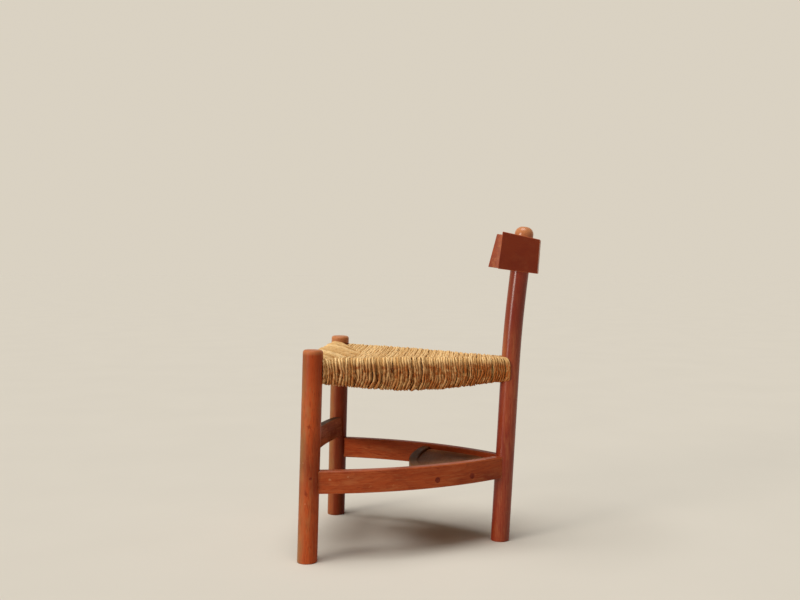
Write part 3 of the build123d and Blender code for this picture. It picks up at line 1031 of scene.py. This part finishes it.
straw = {
    "light": (0.93, 0.64, 0.30, 1),
    "aged": (0.66, 0.38, 0.135, 1),
    "fibre": (0.97, 0.76, 0.43, 1),
    "dark": (0.34, 0.135, 0.034, 1),
    # the side colour is partly aged straw and partly painted shade
    "side": (0.375, 0.096, 0.014, 1),
    "sideAgeAndShade": 0.95,
    "backShadeShare": 0.4,               # painted shade added to it toward the post
}
# A darker copy for the bed strands, half hidden in the gaps: painted shade
shadedStraw = {
    "light": (0.66, 0.40, 0.15, 1),
    "aged": (0.42, 0.21, 0.06, 1),
    "fibre": (0.66, 0.4, 0.16, 1),
    "dark": (0.19, 0.06, 0.01, 1),
    "side": (0.2, 0.044, 0.004, 1),
    "sideAgeAndShade": 1.0,
    "backShadeShare": -0.3,
}
strawPlan = {
    "round": 9.0,                   # the fibre's scales: round a strand, along it,
    "along": 1.6,                   # and from one strand to another
    "apart": 50.0,
    "fibre": {"scale": 2.2, "detail": 3.0, "roughness": 0.6},
    "age": {"scale": 38.0, "detail": 4.0, "roughness": 0.6},
    "toneShare": 0.7,
    "ageShare": 0.4,
    "shadeRange": (0.25, 1.0),
    "slope": 0.0286,                # of the side rails, down toward the post
    "sideRange": (0.4226, 0.4046),  # heights on that slope from the rush's top to its side
    "worn": {"scale": 90.0, "detail": 3.0, "roughness": 0.6},
    "wornRange": (0.35, 0.65, 0.45, 1.0),
    "wornLimit": 1.05,
    "backShadeRange": (-0.02, 0.16),
    "brightRange": (0.54, 0.76, 0.0, 0.5),
    "sideBright": (0.0, 1.0, 1.0, 0.3),
    "darkRange": (0.44, 0.26, 0.0, 0.55),
    "grooveShadeRange": (-0.2, -1.0, 0.0, 0.32),
    "fleck": {"scale": 190.0, "detail": 2.0, "roughness": 0.6},
    "darkFleck": (0.45, 0.3, 0.0, 0.4),
    "lightFleck": (0.56, 0.72, 0.0, 0.4),
    "roughRange": (0.3, 0.75, 0.72, 0.5),
    "gloss": 0.12,
    "bump": (0.5, 0.0006),
}


def twistedRush(name, look):
    plan = strawPlan
    material, tree, shader, where = newMaterial(name)
    tone = put(tree, "Attribute", attribute_name="strandTone").outputs["Fac"]
    lobe = put(tree, "Attribute", attribute_name="strandLobe").outputs["Fac"]
    uv = axesOf(tree, put(tree, "UVMap", uv_map="UVMap").outputs[0])
    turns = times(tree, uv["X"], 1 / strand["uvPerMetre"] / strand["twist"])
    spun = put(tree, "CombineXYZ", {
        "X": times(tree, calc(tree, "ADD", uv["Y"], turns), plan["round"]),
        "Y": times(tree, uv["X"], plan["along"]),
        "Z": times(tree, tone, plan["apart"]),
    }).outputs[0]
    fibre = pattern(tree, spun, plan["fibre"])
    age = times(tree, pattern(tree, where, plan["age"]), plan["ageShare"])
    shade = calc(tree, "ADD", times(tree, tone, plan["toneShare"]), age)
    shade = mask(tree, shade, *plan["shadeRange"])
    colour = blendColour(tree, shade, look["light"], look["aged"])
    # Sides darker and browner than the top, bright fibres mostly on top: partly aged straw, partly
    # painted shade
    place = axesOf(tree, where)
    lift = calc(tree, "ADD", place["Z"], times(tree, place["Y"], plan["slope"]))
    sides = mask(tree, lift, *plan["sideRange"])
    worn = mask(tree, pattern(tree, where, plan["worn"]), *plan["wornRange"])
    shadeToBack = mask(tree, place["Y"], *plan["backShadeRange"], 0.0, look["backShadeShare"])
    worn = calc(tree, "MINIMUM", calc(tree, "ADD", worn, shadeToBack), plan["wornLimit"])
    sideAgeAndShade = times(tree, times(tree, sides, worn), look["sideAgeAndShade"])
    colour = blendColour(tree, sideAgeAndShade, colour, look["side"])
    bright = mask(tree, fibre, *plan["brightRange"])
    bright = times(tree, bright, mask(tree, sides, *plan["sideBright"]))
    colour = blendColour(tree, bright, colour, look["fibre"])
    fleck = pattern(tree, where, plan["fleck"])
    # The twist's grooves get painted shade; the dark fibres and the dark and light flecks are the
    # straw's own tone
    for value, reach, tint in (
        (fibre, "darkRange", "dark"),
        (lobe, "grooveShadeRange", "dark"),
        (fleck, "darkFleck", "dark"),
        (fleck, "lightFleck", "light"),
    ):
        colour = blendColour(tree, mask(tree, value, *plan[reach]), colour, look[tint])
    tree.links.new(colour, shader.inputs["Base Color"])
    tree.links.new(mask(tree, fibre, *plan["roughRange"]), shader.inputs["Roughness"])
    shader.inputs["Specular IOR Level"].default_value = plan["gloss"]
    addBump(tree, shader, fibre, *plan["bump"])
    return material


# Straw packing between the two layers of strands: a lumpy body of loose stalks

packing = {
    "merge": 0.00001,               # joins the triangles' corners
    "voxel": 0.006,
    "lump": 0.0016,
    "lumpSize": 0.018,
    "light": (0.66, 0.5, 0.27, 1),
    "dark": (0.3, 0.19, 0.08, 1),
    "bend": {"scale": 22.0},
    "swirl": 0.05,
    "stalks": {"drawn": 0.12, "scale": 420.0},
    "stalkRange": (0.35, 0.65),
    "roughRange": (0.3, 0.7, 0.9, 0.65),
    "bump": (0.8, 0.001),
}


def strawPackingPiece():
    body = bmesh.new()
    body.from_mesh(nodes["seat_packing"].data)
    bmesh.ops.remove_doubles(body, verts=body.verts, dist=packing["merge"])
    mesh = bpy.data.meshes.new("strawPacking")
    body.to_mesh(mesh)
    body.free()
    piece = bpy.data.objects.new("strawPacking", mesh)
    scene.collection.objects.link(piece)
    remesh = piece.modifiers.new("stuffing", "REMESH")
    remesh.mode = "VOXEL"
    remesh.voxel_size = packing["voxel"]
    lumps = bpy.data.textures.new("strawLumps", "CLOUDS")
    lumps.noise_scale = packing["lumpSize"]
    push = piece.modifiers.new("lumps", "DISPLACE")
    push.texture = lumps
    push.strength = packing["lump"]
    push.mid_level = 1.0            # so that it only pushes in
    return piece


def looseStraw(look):
    material, tree, shader, where = newMaterial("looseStraw")
    bend = pattern(tree, where, look["bend"], "Color")
    swirl = put(tree, "VectorMath", {0: bend, "Scale": look["swirl"]}, operation="SCALE").outputs[0]
    stalks = pattern(tree, vectors(tree, "ADD", where, swirl)[0], look["stalks"])
    colour = blendColour(tree, mask(tree, stalks, *look["stalkRange"]), look["dark"], look["light"])
    tree.links.new(colour, shader.inputs["Base Color"])
    tree.links.new(mask(tree, stalks, *look["roughRange"]), shader.inputs["Roughness"])
    addBump(tree, shader, stalks, *look["bump"])
    return material


rushFinish = twistedRush("twistedRush", straw)
weaves = [
    (layCrossStrands(), rushFinish),
    (layFrontStrands(), rushFinish),
    (layBedStrands(), twistedRush("shadedRush", shadedStraw)),
]
for strands, finish in weaves:
    strands.data.materials.append(finish)
    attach(strands, "root")
    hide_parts("rush_seat")

stuffing = strawPackingPiece()
stuffing.data.materials.clear()
stuffing.data.materials.append(looseStraw(packing))
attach(stuffing, "root")
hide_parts("seat_packing")
print("rush seat woven")


# Floor, light and camera

studio = {
    "floorSize": 80.0,
    "floorColour": (0.70, 0.655, 0.565, 1),
    "floorDeeper": 0.95,            # share of that colour where the floor is darkest
    "floorTone": {"scale": 3.0, "detail": 3.0},
    "floorRoughness": 0.9,
    "worldLight": (1.0, 0.75, 0.5, 1),
    "worldStrength": 0.06,
    "farShare": 0.975,              # the floor's middle tone, for the far background
}
suns = {
    "softSun": {
        "source": (0.17, -0.13, 0.977),
        "angle": 44.0,
        "power": 2.85,
        "colour": (1, 1, 1),
    },
    "frontWindow": {
        "source": (0.65, -0.744, 0.156),
        "angle": 18.0,
        "power": 1.6,
        "colour": (1, 0.93, 0.84),
    },
}


def plainFloor():
    sheet = bmesh.new()
    bmesh.ops.create_grid(sheet, x_segments=1, y_segments=1, size=studio["floorSize"] / 2)
    mesh = bpy.data.meshes.new("floor")
    sheet.to_mesh(mesh)
    sheet.free()
    floor = bpy.data.objects.new("floor", mesh)
    scene.collection.objects.link(floor)
    material, tree, shader, where = newMaterial("paleFloor")
    tone = pattern(tree, where, studio["floorTone"])
    pale = studio["floorColour"]
    deeper = tuple(studio["floorDeeper"] * c for c in pale[:3]) + (1,)
    tree.links.new(blendColour(tree, tone, pale, deeper), shader.inputs["Base Color"])
    shader.inputs["Roughness"].default_value = studio["floorRoughness"]
    shader.inputs["Specular IOR Level"].default_value = 0.0
    mesh.materials.append(material)


# The tone of the lit floor far away, for what is seen behind the floor's edge
def farTone(channel):
    light = studio["worldStrength"] * studio["worldLight"][channel]
    beams = [s["power"] * s["source"][2] * s["colour"][channel] for s in suns.values()]
    light += sum(beams) / math.pi
    return studio["farShare"] * studio["floorColour"][channel] * light


def softWorld():
    world = bpy.data.worlds.new("studio")
    scene.world = world
    world.use_nodes = True
    tree = world.node_tree
    lit = tree.nodes["Background"]
    lit.inputs["Color"].default_value = studio["worldLight"]
    lit.inputs["Strength"].default_value = studio["worldStrength"]
    farColour = [farTone(channel) for channel in range(3)] + [1]
    seen = put(tree, "Background", {"Color": farColour, "Strength": 1.0})
    rays = put(tree, "LightPath").outputs
    direct = calc(tree, "MAXIMUM", rays["Is Camera Ray"], rays["Is Glossy Ray"])
    direct = calc(tree, "MAXIMUM", direct, rays["Is Transmission Ray"])
    both = put(tree, "MixShader", {0: direct, 1: lit.outputs[0], 2: seen.outputs[0]})
    tree.links.new(both.outputs[0], tree.nodes["World Output"].inputs["Surface"])


def addSun(name, plan):
    data = bpy.data.lights.new(name, "SUN")
    data.energy = plan["power"]
    data.color = plan["colour"]
    data.angle = math.radians(plan["angle"])
    lamp = bpy.data.objects.new(name, data)
    lamp.rotation_euler = Vector(plan["source"]).to_track_quat("Z", "Y").to_euler()
    scene.collection.objects.link(lamp)


eye = {
    "place": (2.230, 0.1416, 0.637),
    "yaw": -5.02,
    "pitch": 2.28,
    "focal": 980.0,                 # in pixels of an image this wide
    "imageWidth": 800.0,
    "sensor": 36.0,
}


def addCamera():
    data = bpy.data.cameras.new("eye")
    data.sensor_fit = "HORIZONTAL"
    data.sensor_width = eye["sensor"]
    data.lens = eye["focal"] / eye["imageWidth"] * data.sensor_width
    camera = bpy.data.objects.new("eye", data)
    camera.location = eye["place"]
    yaw, pitch = math.radians(eye["yaw"]), math.radians(eye["pitch"])
    level = math.cos(pitch)
    aim = Vector((-math.cos(yaw) * level, math.sin(yaw) * level, -math.sin(pitch)))
    camera.rotation_euler = aim.to_track_quat("-Z", "Y").to_euler()
    scene.collection.objects.link(camera)
    scene.camera = camera


plainFloor()
softWorld()
for name, plan in suns.items():
    addSun(name, plan)
addCamera()
print("studio set up")
